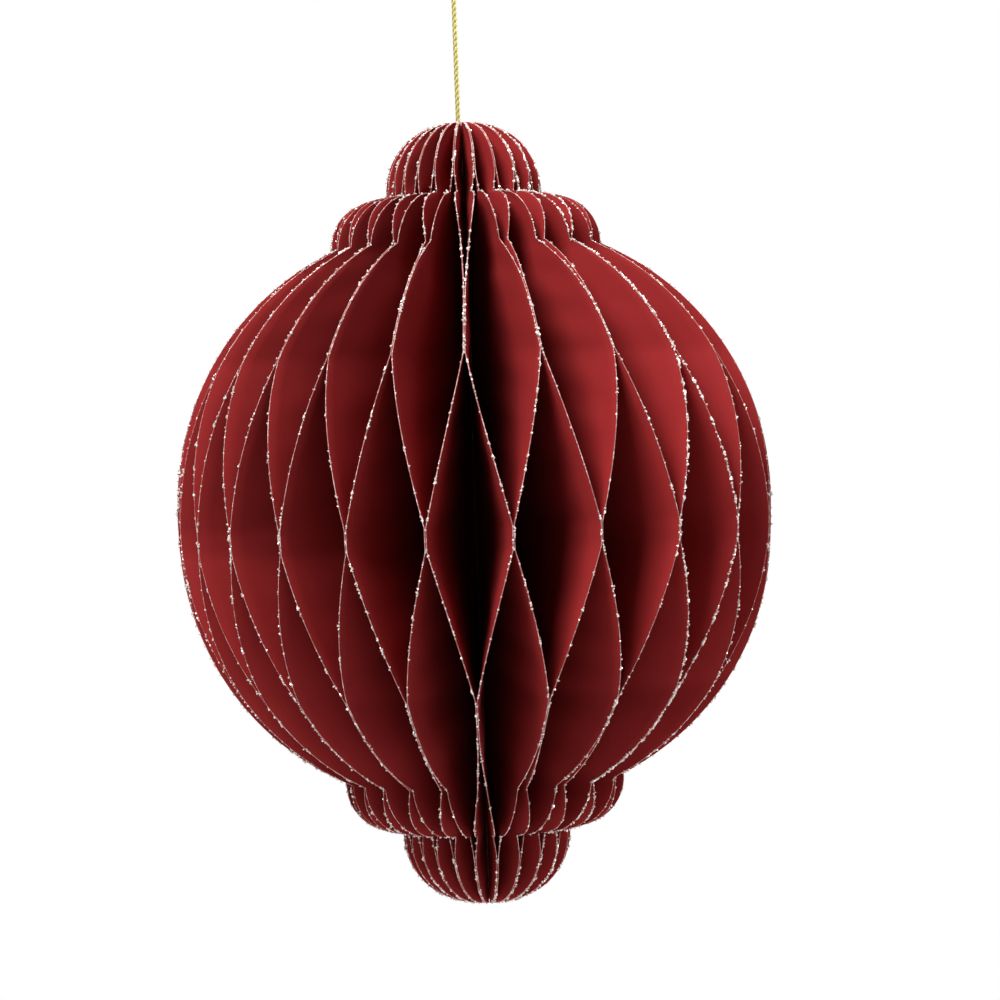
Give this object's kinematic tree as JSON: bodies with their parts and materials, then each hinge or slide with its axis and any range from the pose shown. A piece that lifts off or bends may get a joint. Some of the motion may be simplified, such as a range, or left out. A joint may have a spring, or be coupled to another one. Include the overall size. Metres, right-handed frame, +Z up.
{
  "type": "paper onion ornament",
  "caption": "Hanging ornament of die-cut card leaves bound at a central spine, opening into a round honeycomb body with a collar and dome above and below, on a twisted cord.",
  "frame": {"origin": "inside top of the hanging loop, where a hook carries the ornament", "axes": "+Z up along the cord and the spine, -Y towards the cell that faces the front, +X to the right"},
  "size_m": [0.1199, 0.1195, 0.2035],
  "materials": {
    "card": "matt dyed card, edges coated in glitter",
    "spine": "matt glued card",
    "cord": "twisted metallic thread",
    "glitter": "pale champagne glitter grains"
  },
  "bodies": {
    "root": {"leaf_01": "card", "leaf_02": "card", "leaf_03": "card", "leaf_04": "card", "leaf_05": "card", "leaf_06": "card", "leaf_07": "card", "leaf_08": "card", "leaf_09": "card", "leaf_10": "card", "leaf_11": "card", "leaf_12": "card", "leaf_13": "card", "leaf_14": "card", "leaf_15": "card", "leaf_16": "card", "leaf_17": "card", "leaf_18": "card", "leaf_19": "card", "leaf_20": "card", "leaf_21": "card", "leaf_22": "card", "leaf_23": "card", "leaf_24": "card", "leaf_25": "card", "leaf_26": "card", "leaf_27": "card", "leaf_28": "card", "leaf_29": "card", "leaf_30": "card", "leaf_31": "card", "leaf_32": "card", "leaf_33": "card", "leaf_34": "card", "leaf_35": "card", "leaf_36": "card", "leaf_37": "card", "leaf_38": "card", "leaf_39": "card", "leaf_40": "card", "leaf_41": "card", "leaf_42": "card", "leaf_43": "card", "leaf_44": "card", "leaf_45": "card", "leaf_46": "card", "leaf_47": "card", "leaf_48": "card", "spine": "spine", "cord": "cord", "knot": "cord"}
  },
  "joints": []
}
